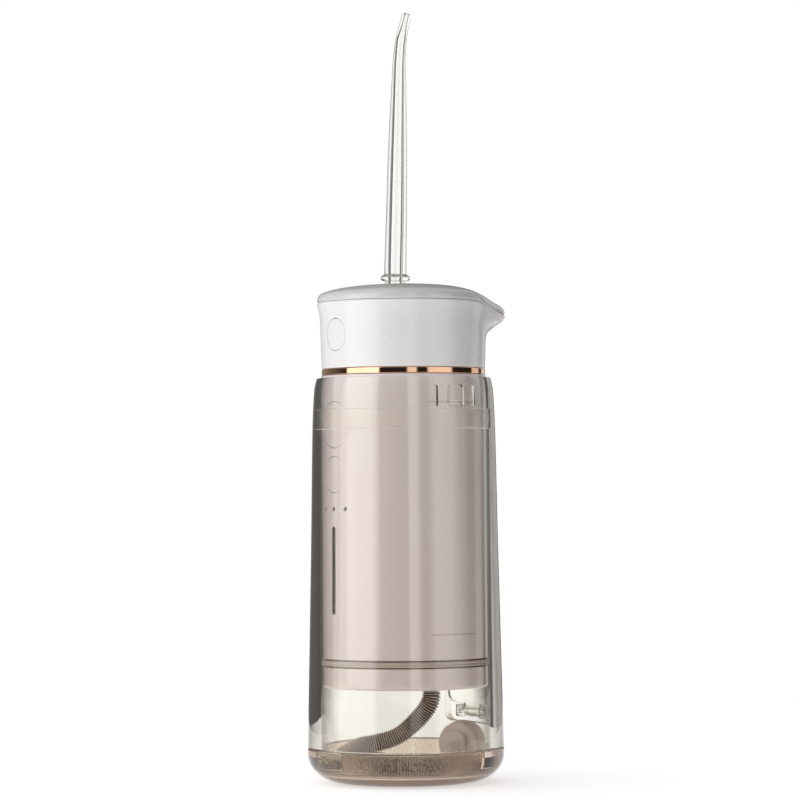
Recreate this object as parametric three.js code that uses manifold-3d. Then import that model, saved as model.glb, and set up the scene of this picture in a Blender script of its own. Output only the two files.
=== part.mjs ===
// A handheld water-jet irrigator: a slim pump body that telescopes into a clear water tank,
// with a turning jet nozzle on top and a weighted suction hose below. Millimetres, +Z up.
// The origin is the middle of the tank's flat underside; the buttons face -Y, the beak +Y.
import * as THREE from 'three';
import { mergeVertices } from 'three/addons/utils/BufferGeometryUtils.js';
import Module from 'manifold-3d';

const wasm = await Module();
wasm.setup();

// ---------- driving dimensions ----------
const GAP = 0.3;                 // clearance between neighbouring pieces
const ROUND = 48;                // facets round a large ring
const TANK_BORE = 26.3;          // inner radius of the tank, constant so that the seal can slide
const TANK_TOP = 124.7;
const TANK_FOOT = 10.9;          // where the tank wall starts above its base
const FLOOR_TOP = 3;             // upper face of the tank's floor
const BODY_RADIUS = 25.5;
const BODY_WALL = 1.8;
const BODY_BOTTOM = 29.3;
const BODY_TOP = 125.5;
const SEAL_BOTTOM = 36.3;
const SEAL_TOP = 38.1;
const HEAD_BOTTOM = 127.6;
const HEAD_TOP = 148.1;
const HEAD_RADIUS = 26.7;        // plan radius at the head's upper edge
const BEAK_TIP_RADIUS = 13;      // plan radius of the beak's rounded end
const BEAK_CENTRE = 23.4;        // how far behind the axis that end's centre lies
const BEAK_DROP = 3.4;           // how much lower the beak's tip is than the head's edge
const NOZZLE_Y = -2.8;           // the nozzle stands just in front of the middle
const NOZZLE_TOP = 237;
const GEAR_MODULE = 0.6;
const GEAR_TEETH = 36;
const PINION_TEETH = 10;
const CRANK_THROW = 2.2;
const MOTOR = { x: -11.5, y: 4, radius: 11, bottom: 67.9, top: 97 };
const BATTERY = { x: 12, y: 4, radius: 9.25, bottom: 68, top: 118 };
const LATCH_BOTTOM = 115.3;
const LATCH_TOP = 121.9;
const LID_RECESS = 27.4;         // radius of the recess that the fill lid lies in
const PORT = { width: 19.6, bottom: 27.8, top: 56.2, corner: 9.7 };
const PIN_Y = 29.3;              // the lid's hinge pin
const PIN_Z = 20;

// ---------- colours ----------
const colours = {
  smoky: { color: 0xa9a294, roughness: 0.12, metalness: 0 },
  clear: { color: 0xe6e8e6, roughness: 0.08, metalness: 0 },
  beige: { color: 0xcdc1be, roughness: 0.42, metalness: 0 },
  white: { color: 0xf1efee, roughness: 0.28, metalness: 0 },
  grey: { color: 0xd5d5d7, roughness: 0.2, metalness: 0 },
  rose: { color: 0xc98b6c, roughness: 0.12, metalness: 1 },
  hose: { color: 0x6b625a, roughness: 0.5, metalness: 0 },
  weight: { color: 0xa89a98, roughness: 0.6, metalness: 0 },
  rubber: { color: 0x8f8884, roughness: 0.7, metalness: 0 },
  steel: { color: 0xb9bbbe, roughness: 0.3, metalness: 1 },
  dark: { color: 0x2b2a2c, roughness: 0.4, metalness: 0 },
  board: { color: 0x2f5b3c, roughness: 0.6, metalness: 0 },
  wrap: { color: 0x3f7fae, roughness: 0.4, metalness: 0 },
};

// ---------- geometry helpers ----------
// Welds the vertices, drops faces with no area and turns the faces outward.
function welded(geometry) {
  const bare = new THREE.BufferGeometry();
  bare.setAttribute('position', geometry.getAttribute('position').clone());
  if (geometry.index) bare.setIndex(geometry.index.clone());
  const merged = mergeVertices(bare, 1e-4);
  const point = merged.getAttribute('position');
  const corners = [];
  const a = new THREE.Vector3();
  const b = new THREE.Vector3();
  const c = new THREE.Vector3();
  let volume = 0;
  for (let i = 0; i < merged.index.count; i += 3) {
    const [p, q, r] = [0, 1, 2].map((k) => merged.index.getX(i + k));
    if (p !== q && q !== r && r !== p) {
      corners.push([p, q, r]);
      a.fromBufferAttribute(point, p);
      b.fromBufferAttribute(point, q);
      c.fromBufferAttribute(point, r);
      volume += a.dot(b.cross(c));
    }
  }
  merged.setIndex(corners.flatMap((t) => (volume < 0 ? t.reverse() : t)));
  return merged;
}

function toSolid(geometry) {
  const ready = welded(geometry);
  return new wasm.Manifold(new wasm.Mesh({
    numProp: 3,
    vertProperties: new Float32Array(ready.getAttribute('position').array),
    triVerts: new Uint32Array(ready.index.array),
  }));
}

function toGeometry(solid) {
  const mesh = solid.getMesh();
  const geometry = new THREE.BufferGeometry();
  geometry.setAttribute('position', new THREE.Float32BufferAttribute(mesh.vertProperties, 3));
  geometry.setIndex([...mesh.triVerts]);
  return geometry;
}

function joined(base, ...others) {
  return toGeometry(others.reduce((sum, g) => sum.add(toSolid(g)), toSolid(base)));
}

function cut(base, ...tools) {
  return toGeometry(tools.reduce((rest, g) => rest.subtract(toSolid(g)), toSolid(base)));
}

function common(one, other) {
  return toGeometry(toSolid(one).intersect(toSolid(other)));
}

// A profile of [radius, height] points turned about +Z.
function turned(profile, facets = ROUND) {
  const points = profile.map(([r, z]) => new THREE.Vector2(r, z));
  return welded(new THREE.LatheGeometry(points, facets).rotateX(Math.PI / 2));
}

function ring(inner, outer, bottom, top, facets = ROUND) {
  return turned([[inner, bottom], [outer, bottom], [outer, top], [inner, top], [inner, bottom]], facets);
}

function disc(radius, bottom, top, facets = 24) {
  return turned([[0, bottom], [radius, bottom], [radius, top], [0, top]], facets);
}

// A cylinder along an axis, centred at a point.
function rod(axis, radius, length, x, y, z, facets = 24) {
  const geometry = new THREE.CylinderGeometry(radius, radius, length, facets);
  if (axis === 'x') geometry.rotateZ(Math.PI / 2);
  if (axis === 'z') geometry.rotateX(Math.PI / 2);
  return geometry.translate(x, y, z);
}

// A box from one corner to the other.
function block(x0, x1, y0, y1, z0, z1) {
  const geometry = new THREE.BoxGeometry(x1 - x0, y1 - y0, z1 - z0);
  return geometry.translate((x0 + x1) / 2, (y0 + y1) / 2, (z0 + z1) / 2);
}

// An upright panel with rounded corners in the XZ plane, running from y0 to y1.
function panel(width, bottom, top, corner, y0, y1) {
  const shape = new THREE.Shape();
  const half = width / 2;
  shape.absarc(half - corner, top - corner, corner, 0, Math.PI / 2);
  shape.absarc(corner - half, top - corner, corner, Math.PI / 2, Math.PI);
  shape.absarc(corner - half, bottom + corner, corner, Math.PI, 1.5 * Math.PI);
  shape.absarc(half - corner, bottom + corner, corner, 1.5 * Math.PI, 2 * Math.PI);
  const options = { depth: y1 - y0, bevelEnabled: false, curveSegments: 4 };
  return new THREE.ExtrudeGeometry(shape, options).rotateX(Math.PI / 2).translate(0, y1, 0);
}

function tube(points, radius, sides, steps) {
  const shape = new THREE.Shape();
  shape.absarc(0, 0, radius, 0, 2 * Math.PI);
  const path = new THREE.CatmullRomCurve3(points.map((p) => new THREE.Vector3(...p)), false, 'centripetal');
  const options = { steps, extrudePath: path, curveSegments: sides / 2 };
  return new THREE.ExtrudeGeometry(shape, options);
}

const smooth = (x, low, high) => THREE.MathUtils.smoothstep(x, low, high);

const parts = new THREE.Group();

function add(name, geometry, colour, place = [0, 0, 0]) {
  const mesh = new THREE.Mesh(geometry, new THREE.MeshStandardMaterial(colours[colour]));
  mesh.name = name;
  mesh.position.set(...place);
  parts.add(mesh);
  return mesh;
}

// ---------- tank ----------
function tankShell() {
  const lugTurns = [0, 120, 240].map(THREE.MathUtils.degToRad);
  const wall = turned([
    [TANK_BORE, 4.5], [27.6, 4.5], [27.6, 10.7], [30.35, TANK_FOOT], [29.8, 34], [29.0, 71], [28.3, 109],
    [27.7, 119.5], [26.9, TANK_TOP],
    [TANK_BORE, TANK_TOP], [TANK_BORE, 114.9], [27.0, 114.9], [27.0, 108.8], [TANK_BORE, 108.8],
    [TANK_BORE, 4.5],
  ]);
  const lugs = lugTurns.map((turn) => block(-6, 6, -28.3, -26.8, 5.8, 9.8).rotateZ(turn));
  const ears = [-1, 1].flatMap((side) => {
    const x = side * 6.7;
    return [rod('x', 1.9, 3, x, PIN_Y, PIN_Z), block(x - 1.5, x + 1.5, 26.6, PIN_Y, 18.1, 21.9)];
  });
  const recess = common(ring(LID_RECESS, 32, 15, 61, 72), panel(24, 16.6, 59.6, 6, 20, 40));
  const body = joined(cut(joined(wall, ...lugs), recess), ...ears);
  const windows = [-1, 1].flatMap((side) => [
    block(25.5, 29, -2.7, 2.7, LATCH_BOTTOM - 0.25, LATCH_TOP + GAP).rotateZ(side > 0 ? 0 : Math.PI),
    ...[-1, 1].map((way) => {
      const slot = block(25.5, 29, -0.5, 0.5, LATCH_BOTTOM, LATCH_TOP);
      return slot.rotateZ((side > 0 ? 0 : Math.PI) + way * 7.1 / 28);
    }),
  ]);
  const port = panel(PORT.width, PORT.bottom, PORT.top, PORT.corner, 20, 32);
  const pocket = rod('x', 2.2, 9.8, 0, PIN_Y, PIN_Z);
  const pinHole = rod('x', 1.5, 30, 0, PIN_Y, PIN_Z, 16);
  return cut(body, ...windows, port, pocket, pinHole);
}

function tankBase() {
  const corner = [];
  for (let step = 0; step <= 4; step += 1) {
    const angle = (step / 4) * Math.PI / 2;
    corner.push([19.4 + 11 * Math.sin(angle), 9 - 9 * Math.cos(angle)]);
  }
  const cup = turned([
    [0, 0], ...corner, [30.4, 10.5], [27.9, 10.5], [27.9, 5.2], [27.0, FLOOR_TOP], [0, FLOOR_TOP],
  ]);
  const pockets = [0, 120, 240].map((degrees) => {
    return block(-6.3, 6.3, -28.6, -27, 5.3, 11).rotateZ(THREE.MathUtils.degToRad(degrees));
  });
  return cut(cup, ...pockets);
}

function makeTank() {
  add('tank_shell', tankShell(), 'smoky');
  add('tank_base', tankBase(), 'smoky');
  add('base_seal_ring', ring(25.4, 26.6, 3.3, 4.2, 36), 'rubber');
  add('guide_collar', ring(25.75, 26.7, 109.1, 114.6), 'clear');
  add('lid_hinge_pin', rod('x', 1.2, 17, 0, PIN_Y, PIN_Z, 16), 'clear');
}

// ---------- fill lid ----------
function makeFillLid() {
  const bend = ring(LID_RECESS + GAP, 29.5, 15, 60, 72);
  const flap = common(bend, panel(22.5, 22.4, 59, 6, 20, 40));
  const tongue = common(bend, block(-4.6, 4.6, 20, 40, PIN_Z, 25));
  const barrel = rod('x', 1.9, 9.2, 0, PIN_Y, PIN_Z);
  const pinHole = rod('x', 1.5, 12, 0, PIN_Y, PIN_Z, 16);
  add('fill_lid', cut(joined(flap, tongue, barrel), pinHole), 'clear');
  const seal = panel(PORT.width - 0.8, PORT.bottom + 0.4, PORT.top - 0.4, PORT.corner - 0.4, 20, 40);
  add('fill_lid_seal', common(ring(26.6, LID_RECESS, 26, 58, 72), seal), 'rubber');
}

// ---------- suction hose and its weight ----------
// The hose drops from the body's underside, runs round the tank's floor and ends in the weight.
const hoseRoute = [
  [0, 10, 27], [0, 9.95, 25.4], [-0.5, 9.5, 23.2], [-2.2, 8, 20], [-4.6, 5.6, 16.5], [-7.4, 1.6, 13], [-10.3, -3.2, 11.3],
  [-12.2, -8.5, 10.2], [-10, -16.4, 7.9], [-2.1, -20.6, 6.6], [7.9, -19.6, 6.5], [16.3, -13, 6.5],
  [19.6, -3.6, 6.6], [17.6, 4.2, 8.2], [14.2, 8, 10.4],
];
const weightFront = new THREE.Vector3(11.2, 11.2, 12);
const weightRear = new THREE.Vector3(6.5, 20.2, 10.6);

function alongWeight(geometry) {
  const way = weightRear.clone().sub(weightFront).normalize();
  const turn = new THREE.Quaternion().setFromUnitVectors(new THREE.Vector3(0, 0, 1), way);
  return geometry.applyQuaternion(turn).translate(...weightFront.toArray());
}

function makeHose() {
  const barb = turned([[0, 27.4], [3.4, 27.4], [3.8, 27.8], [3.8, 29], [0, 29]], 24).translate(0, 10, 0);
  add('hose_barb', barb, 'beige');
  add('suction_hose', tube(hoseRoute, 3, 10, 34), 'hose');
  add('weight_hose_barb', alongWeight(disc(3.4, -2.6, -0.6)), 'weight');
  const weight = turned([
    [0, -0.3], [5.6, -0.3], [6.2, 0.3], [6.2, 1.6], [5.2, 2.2], [5.2, 2.8], [7.2, 3.6], [7.2, 7.2], [5.6, 8.6],
    [0, 8.6],
  ], 28);
  add('suction_weight', alongWeight(weight), 'weight');
  add('weight_strainer', alongWeight(disc(5.2, 8.9, 9.9, 28)), 'steel');
}

// ---------- body casing ----------
function bodyShell() {
  const inner = BODY_RADIUS - BODY_WALL;
  const bottom = SEAL_TOP + GAP;
  const shell = ring(inner, BODY_RADIUS, bottom, BODY_TOP);
  const grooves = [46.3, 116.8].flatMap((z) => [
    block(25.1, 26, -4, 4, z - 0.4, z + 0.4),
    block(-26, -25.1, -4, 4, z - 0.4, z + 0.4),
  ]);
  const front = -BODY_RADIUS;
  const holes = [
    rod('y', 7.25, 6, 0, front, 110.1, 32),
    rod('y', 5.75, 6, 0, front, 94.9, 28),
    panel(2.2, 52.1, 79.1, 1.09, front - 2, front + 4),
    ...ledTurns.map((turn) => rod('y', 0.75, 6, 0, front, 84.4, 12).rotateZ(turn)),
  ];
  return cut(shell, ...grooves, ...holes);
}

const ledTurns = [-11.5, 0, 11.5].map(THREE.MathUtils.degToRad);

function bottomCap() {
  const cup = turned([
    [0, BODY_BOTTOM], [24.9, BODY_BOTTOM], [BODY_RADIUS, 29.9], [BODY_RADIUS, 36], [23.4, 36], [23.4, 42],
    [21.8, 42], [21.8, 31.5], [0, 31.5],
  ]);
  return cut(cup, rod('z', 1.2, 6, 0, 10, 30, 12));
}

function makeCasing() {
  add('body_shell', bodyShell(), 'beige');
  add('bottom_cap', bottomCap(), 'beige');
  add('tank_seal_ring', ring(23.7, 26.1, SEAL_BOTTOM, SEAL_TOP), 'rubber');
  add('trim_ring', ring(23, 25.2, 125.8, 127.3), 'rose');
  const skin = ring(23.9, BODY_RADIUS - 0.1, 52, 80, 72);
  add('level_window', common(skin, panel(1.6, 52.4, 78.8, 0.79, -30, -20)), 'dark');
  ledTurns.forEach((turn, i) => {
    const pipe = rod('y', 0.45, 4.8, 0, -22.9, 84.4, 12).rotateZ(turn);
    add(`mode_light_${i + 1}`, pipe, 'clear');
  });
}

// ---------- head ----------
// Plan outline of the head's upper edge: a circle and the beak's smaller circle, with the straight
// tangents between them. It is the radius at an angle from +Y.
function planRadius(angle) {
  const turn = Math.abs(angle);
  const tangent = Math.acos((HEAD_RADIUS - BEAK_TIP_RADIUS) / BEAK_CENTRE);
  const touch = Math.atan2(
    BEAK_TIP_RADIUS * Math.sin(tangent),
    BEAK_CENTRE + BEAK_TIP_RADIUS * Math.cos(tangent),
  );
  if (turn > tangent) return HEAD_RADIUS;
  if (turn > touch) return HEAD_RADIUS / Math.cos(turn - tangent);
  const across = BEAK_CENTRE * Math.sin(turn);
  return BEAK_CENTRE * Math.cos(turn) + Math.sqrt(BEAK_TIP_RADIUS ** 2 - across ** 2);
}

// Pulls a turned shape out into the beak: reach says how much of the beak a point takes part in,
// and sag how much of its drop.
function beaked(geometry, reach, sag) {
  const point = geometry.getAttribute('position');
  for (let i = 0; i < point.count; i += 1) {
    const [x, y, z] = [point.getX(i), point.getY(i), point.getZ(i)];
    const radius = Math.hypot(x, y);
    const longer = planRadius(Math.atan2(x, y)) / HEAD_RADIUS - 1;
    const scale = 1 + longer * reach(z, radius);
    const lower = BEAK_DROP * smooth(y * scale, 5, 36) * sag(z);
    point.setXYZ(i, x * scale, y * scale, z - lower);
  }
  return geometry;
}

function headShell() {
  const side = turned([
    [25.3, HEAD_BOTTOM], [25.6, 136.8], [25.65, 139], [25.7, 141.2], [25.9, 144], [26.7, HEAD_TOP],
    [24.9, HEAD_TOP], [24.1, 144.4], [23.8, 141.6], [23.7, 139.4], [23.6, 137.2], [23.6, HEAD_BOTTOM],
    [25.3, HEAD_BOTTOM],
  ]);
  const shell = beaked(side, (z) => smooth(z, 136, 144), (z) => smooth(z, 141, HEAD_TOP));
  const button = rod('y', 5.13, 6, 0, -25, 137.8, 28);
  const socket = panel(10.6, 130.2, 136.2, 1.4, 20, 30);
  return cut(shell, button, socket);
}

function topCap() {
  const dome = turned([
    [0, 153.8], [8, 153.7], [15, 153.2], [20.5, 152.4], [24.3, 151.5], [26, 150.7], [26.6, 149.7],
    [26.6, HEAD_TOP + GAP], [24.8, HEAD_TOP + GAP], [24.4, 149.7], [15, 151.5], [0, 152],
  ]);
  const shell = beaked(dome, (z, r) => (r / HEAD_RADIUS) ** 2, () => 1);
  return cut(shell, rod('z', 3.8, 12, 0, NOZZLE_Y, 153));
}

function makeHead() {
  add('head_shell', headShell(), 'white');
  add('top_cap', topCap(), 'grey');
  const slot = block(-4.2, 4.2, 18, 26, 131.9, 134.5);
  add('charging_socket', cut(block(-4.7, 4.7, 15.5, 23, 131.4, 135), slot), 'steel');
  const cover = common(ring(23.9, 25.3, 128, 138, 72), panel(10, 130.5, 135.9, 1.2, 20, 30));
  add('charging_cover', cover, 'white');
}

// ---------- nozzle ----------
// The tube leans slightly, then bends towards +X near its tip.
const nozzleLine = new THREE.CatmullRomCurve3([
  [0, 0, 146], [0, 0, 156.5], [0.9, 0, 176], [1.7, 0, 196], [2.5, 0, 214], [3.1, 0, 224],
  [4.3, 0, 230.5], [7.2, 0, NOZZLE_TOP],
].map((p) => new THREE.Vector3(...p)), false, 'centripetal');

function bentAlong(geometry, line) {
  const point = geometry.getAttribute('position');
  const length = line.getLength();
  for (let i = 0; i < point.count; i += 1) {
    const share = THREE.MathUtils.clamp(point.getZ(i) / length, 0, 1);
    const place = line.getPointAt(share);
    const way = line.getTangentAt(share);
    const x = point.getX(i);
    point.setXYZ(i, place.x + x * way.z, point.getY(i), place.z - x * way.x);
  }
  return geometry;
}

function nozzle() {
  const end = nozzleLine.getLength();
  return bentAlong(turned([
    [1.5, 0], [2.8, 0], [3.3, 8.9], [4.2, 8.9], [4.5, 9.3], [4.5, 10.1], [3.8, 10.6], [3.5, 10.8],
    [2.9, 50], [2.2, 72], [2.0, 78], [1.8, 82], [1.65, 86], [1.3, end], [0.5, end], [0.5, end - 3],
    [0.95, 84], [1.0, 78], [1.2, 60], [1.5, 0],
  ], 16), nozzleLine);
}

function makeNozzle() {
  add('nozzle', nozzle(), 'clear', [0, NOZZLE_Y, 0]);
  const seat = turned([
    [1.2, 134], [2.6, 134], [2.6, 138], [4.2, 138], [4.2, 140.4], [5, 140.4], [5, 151.2], [3.7, 151.2],
    [3.4, 145.6], [1.2, 145.6], [1.2, 134],
  ], 28);
  add('nozzle_seat', seat, 'white', [0, NOZZLE_Y, 0]);
}

// ---------- buttons and latches ----------
function buttonCap(radius, z) {
  return common(disc(BODY_RADIUS - 0.1, z - 9, z + 9, 72), rod('y', radius, 6, 0, -25.4, z, 32));
}

function makeButtons() {
  add('power_button', buttonCap(6.95, 110.1), 'beige');
  add('mode_button', buttonCap(5.45, 94.9), 'beige');
  const cap = common(disc(25.6, 130, 145, 72), rod('y', 4.83, 6, 0, -24.8, 137.8, 32));
  const catchPlate = block(-4, 4, -22.2, 6.5, 138.3, 139.9);
  const keyhole = joined(
    rod('z', 4.8, 6, 0, NOZZLE_Y, 139),
    rod('z', 4.8, 6, 0, NOZZLE_Y - 2, 139),
  );
  const wide = joined(catchPlate, rod('z', 8, 1.6, 0, NOZZLE_Y - 1, 139.1, 32));
  add('release_button', cut(joined(cap, wide), keyhole), 'white');
}

function latchTongue(side) {
  const plate = common(ring(TANK_BORE + 0.1, 27.4, 114, 123, 72), block(25, 29, -2.4, 2.4, LATCH_BOTTOM, LATCH_TOP));
  const ridge = block(25.75, 26.8, -2, 2, 116.3, 117.3);
  return joined(plate, ridge).rotateZ(side > 0 ? 0 : Math.PI);
}

function makeLatches() {
  add('latch_right', latchTongue(1), 'smoky');
  add('latch_left', latchTongue(-1), 'smoky');
}

// ---------- drive: motor, gears, crank and piston pump ----------
const gearReach = GEAR_MODULE * (GEAR_TEETH + PINION_TEETH) / 2;
const crank = { x: MOTOR.x + gearReach * Math.cos(0.253), y: MOTOR.y + gearReach * Math.sin(0.253) };
const PISTON_Z = 60;
const rodLength = crank.y + CRANK_THROW + 3;

// A spur gear with straight-sided teeth and a little backlash; one tooth points at firstTooth.
function spurGear(teeth, firstTooth, bottom, top) {
  const pitch = GEAR_MODULE * teeth / 2;
  const shape = new THREE.Shape();
  const step = 2 * Math.PI / teeth;
  for (let i = 0; i < teeth; i += 1) {
    [[-0.32, -0.7], [-0.13, 0.75], [0.13, 0.75], [0.32, -0.7]].forEach(([turn, height], k) => {
      const angle = firstTooth + (i + turn) * step;
      const radius = pitch + height * GEAR_MODULE * (height < 0 ? 1.5 : 1);
      const place = [radius * Math.cos(angle), radius * Math.sin(angle)];
      if (i === 0 && k === 0) shape.moveTo(...place);
      else shape.lineTo(...place);
    });
  }
  const options = { depth: top - bottom, bevelEnabled: false };
  return new THREE.ExtrudeGeometry(shape, options).translate(0, 0, bottom);
}

function makeDrive() {
  const toCrank = Math.atan2(crank.y - MOTOR.y, crank.x - MOTOR.x);
  const wheel = joined(
    spurGear(GEAR_TEETH, toCrank + Math.PI, 52.6, 55.6),
    rod('z', 3, 4, 0, 0, 54.6, 20),
    rod('z', 1.1, 9.6, 0, CRANK_THROW, 59.8, 16),
  );
  const axleBore = rod('z', 1.8, 4.4, 0, 0, 53.7, 16);
  const lightening = [-1, 1].map((side) => rod('z', 2.2, 8, side * 6.2, -1, 54, 16));
  add('crank_gear', cut(wheel, axleBore, ...lightening), 'white', [crank.x, crank.y, 0]);
  const pinion = joined(
    spurGear(PINION_TEETH, toCrank + Math.PI / PINION_TEETH, 52.2, 56),
    rod('z', 1, 21, 0, 0, 62.5, 16),
  );
  add('motor_pinion', pinion, 'steel', [MOTOR.x, MOTOR.y, 0]);
  add('crank_axle', rod('z', 1.5, 4.6, crank.x, crank.y, 53.1, 16), 'steel');
  makeRodAndPump();
}

function makeRodAndPump() {
  const bar = joined(
    rod('z', 2.6, 2, 0, 0, 63.2, 20),
    rod('z', 2, 2, 0, -rodLength, 63.2, 20),
    block(-1.2, 1.2, -rodLength, 0, 62.2, 64.2),
  );
  const big = rod('z', 1.4, 4, 0, 0, 63.2, 16);
  add('connecting_rod', cut(bar, big), 'white', [crank.x, crank.y + CRANK_THROW, 0]);
  const tail = joined(
    rod('y', 4.2, 2.4, 0, -11.9, PISTON_Z),
    rod('y', 1.2, 8, 0, -7, PISTON_Z, 16),
    rod('z', 1.2, 2.9, 0, -3, 60.3, 16),
  );
  const grooved = cut(tail, ringAlongY(3.5, 5, -12.4, -11.2, PISTON_Z));
  add('pump_piston', grooved, 'white', [crank.x, 0, 0]);
  add('piston_seal', ringAlongY(3.8, 4.4, -12.1, -11.5, PISTON_Z), 'rubber', [crank.x, 0, 0]);
  add('pump_cylinder', ringAlongY(4.7, 5.6, -18, -10, PISTON_Z), 'clear', [crank.x, 0, 0]);
  const head = block(-5, 5, -21.3, -18.3, 54, 65.4);
  const ports = [rod('z', 1.1, 4, 0, -19.8, 55, 12), rod('z', 1.1, 4, 0, -19.8, 65, 12)];
  add('pump_head', cut(head, ...ports), 'white', [crank.x, 0, 0]);
  add('inlet_valve', rod('z', 0.7, 1.2, 0, -19.8, 55.6, 12), 'rubber', [crank.x, 0, 0]);
  add('outlet_valve', rod('z', 0.7, 1.2, 0, -19.8, 64.3, 12), 'rubber', [crank.x, 0, 0]);
}

function ringAlongY(inner, outer, y0, y1, z) {
  return ring(inner, outer, -y1, -y0, 28).rotateX(Math.PI / 2).translate(0, 0, z);
}

// ---------- chassis, power and plumbing ----------
function makeChassis() {
  const plates = joined(
    rod('z', 23.2, 2, 0, 0, 49, 32),
    rod('z', 23.2, 1.6, 0, 0, 66.8, 32),
    ...[[18.5, -11], [-16, -13], [16, 15], [-9, 20]].map(([x, y]) => rod('z', 1.6, 19, x, y, 57.5, 12)),
  );
  const holes = [
    rod('z', 1.8, 6, MOTOR.x, MOTOR.y, 66.8, 16),
    rod('z', 2.6, 6, 1, -12.5, 66.8, 16),
    block(crank.x - 7, crank.x + 7, -24, -16.5, 65, 69),
    rod('z', 2.9, 6, crank.x, -19.8, 49, 16),
  ];
  const frame = cut(plates, ...holes, rod('z', 3.2, 8, crank.x, crank.y, 67, 20));
  add('chassis', frame, 'white');
  const can = disc(MOTOR.radius, MOTOR.bottom, MOTOR.top, 32).translate(MOTOR.x, MOTOR.y, 0);
  add('motor_can', cut(can, rod('z', 1.4, 12, MOTOR.x, MOTOR.y, MOTOR.bottom, 12)), 'steel');
  const cell = turned([
    [0, BATTERY.bottom], [8.8, BATTERY.bottom], [BATTERY.radius, 68.5], [BATTERY.radius, 116.5], [8.8, 117],
    [3, 117], [3, BATTERY.top], [0, BATTERY.top],
  ], 24);
  add('battery_cell', cell.translate(BATTERY.x, BATTERY.y, 0), 'wrap');
  add('circuit_board', block(-11, 11, -19.4, -18, 77, 119), 'board');
  add('power_switch', joined(block(-3, 3, -20.9, -19.7, 107.1, 113.1), rod('y', 1.7, 1.2, 0, -21.1, 110.1)), 'dark');
  add('mode_switch', joined(block(-3, 3, -20.9, -19.7, 91.9, 97.9), rod('y', 1.7, 1.2, 0, -21.1, 94.9)), 'dark');
  const suction = [[0, 10, 32], [0, 9, 36], [0.6, -2, 41], [1.4, -16, 43.5], [crank.x, -19.8, 47], [crank.x, -19.8, 53.7]];
  add('inlet_tube', tube(suction, 1.9, 8, 18), 'rubber');
  const delivery = [
    [crank.x, -19.8, 65.7], [crank.x, -19.5, 69.4], [1.2, -15, 73.4], [1, -12.5, 78], [1, -12.5, 90],
    [1, -12.5, 105], [1, -12, 120], [0.2, -4.4, 127], [0, NOZZLE_Y, 129], [0, NOZZLE_Y, 133.7],
  ];
  add('delivery_tube', tube(delivery, 1.9, 8, 26), 'rubber');
  [[15, -16.5], [-15, -16.5]].forEach(([x, y], i) => {
    const screw = joined(rod('z', 1.3, 1.6, x, y, 68.7, 12), rod('z', 0.8, 1.2, x, y, 70, 12));
    add(`chassis_screw_${i + 1}`, screw, 'steel');
  });
}

makeTank();
makeFillLid();
makeHose();
makeCasing();
makeHead();
makeNozzle();
makeButtons();
makeLatches();
makeDrive();
makeChassis();

export default parts;
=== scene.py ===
import math

import bmesh
import bpy
from mathutils import Matrix, Quaternion, Vector


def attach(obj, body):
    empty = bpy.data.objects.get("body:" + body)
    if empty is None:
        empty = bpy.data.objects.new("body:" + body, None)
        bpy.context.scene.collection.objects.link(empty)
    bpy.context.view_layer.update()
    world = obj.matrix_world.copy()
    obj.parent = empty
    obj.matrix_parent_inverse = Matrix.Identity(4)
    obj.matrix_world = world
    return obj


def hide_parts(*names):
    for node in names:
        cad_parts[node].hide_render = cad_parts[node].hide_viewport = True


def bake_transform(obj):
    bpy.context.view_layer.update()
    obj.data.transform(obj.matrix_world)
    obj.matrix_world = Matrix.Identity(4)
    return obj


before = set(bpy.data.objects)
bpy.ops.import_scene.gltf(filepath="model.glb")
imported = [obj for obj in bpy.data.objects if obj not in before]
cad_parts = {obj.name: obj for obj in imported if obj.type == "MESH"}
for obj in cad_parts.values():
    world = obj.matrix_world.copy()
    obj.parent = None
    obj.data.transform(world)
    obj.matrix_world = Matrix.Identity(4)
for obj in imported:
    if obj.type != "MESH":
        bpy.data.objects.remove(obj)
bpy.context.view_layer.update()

# Looks of a telescoping water-jet irrigator: a beige pump body with a white head, a mirror trim ring
# and a clear nozzle, sliding in a smoky water tank. Shapes are drawn in millimetres and settled in metres.

# ---------- driving dimensions, in millimetres ----------
MM = 0.001
SEGMENTS = 256                 # facets round a large ring
TANK_BORE = 26.3
TANK_TOP = 124.7
FOOT_FLAT = 19.4               # radius of the flat under the tank
FOOT_WIDTH = 11                # the rounded corner round that flat
FOOT_HEIGHT = 9
FOOT_STEPS = 20
PIN_Y = 29.3                   # the fill lid's hinge pin
PIN_Z = 20
LID_RECESS = 27.4              # radius of the recess that the fill lid lies in
LUG_TURNS = (0, 120, 240)
BODY_RADIUS = 25.5
BODY_TOP = 125.5
LIGHT_TURNS = (-11.5, 0, 11.5)
HEAD_BOTTOM = 127.6
HEAD_TOP = 148.1
HEAD_RADIUS = 26.7
BEAK_TIP_RADIUS = 13
BEAK_CENTRE = 23.4
BEAK_DROP = 3.4
NOZZLE_Y = -2.8
HOSE_DIAMETER = 6
HOSE_RIB_PITCH = 0.76
HOSE_RIB_DEPTH = 0.55
HOSE_RIB_STEPS = 8
HOSE_SIDES = 36
HOSE_ROUTE = (
    (0, 10, 27), (0, 9.95, 25.4), (-0.5, 9.5, 23.2), (-2.2, 8, 20), (-4.6, 5.6, 16.5),
    (-7.4, 1.6, 13), (-10.3, -3.2, 11.3), (-12.2, -8.5, 10.2), (-10, -16.4, 7.9),
    (-2.1, -20.6, 6.6), (7.9, -19.6, 6.5), (16.3, -13, 6.5), (19.6, -3.6, 6.6), (17.6, 4.2, 8.2),
    (14.2, 8, 10.4),
)
WEIGHT_FRONT = Vector((11.2, 11.2, 12))
WEIGHT_REAR = Vector((6.5, 20.2, 10.6))
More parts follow.
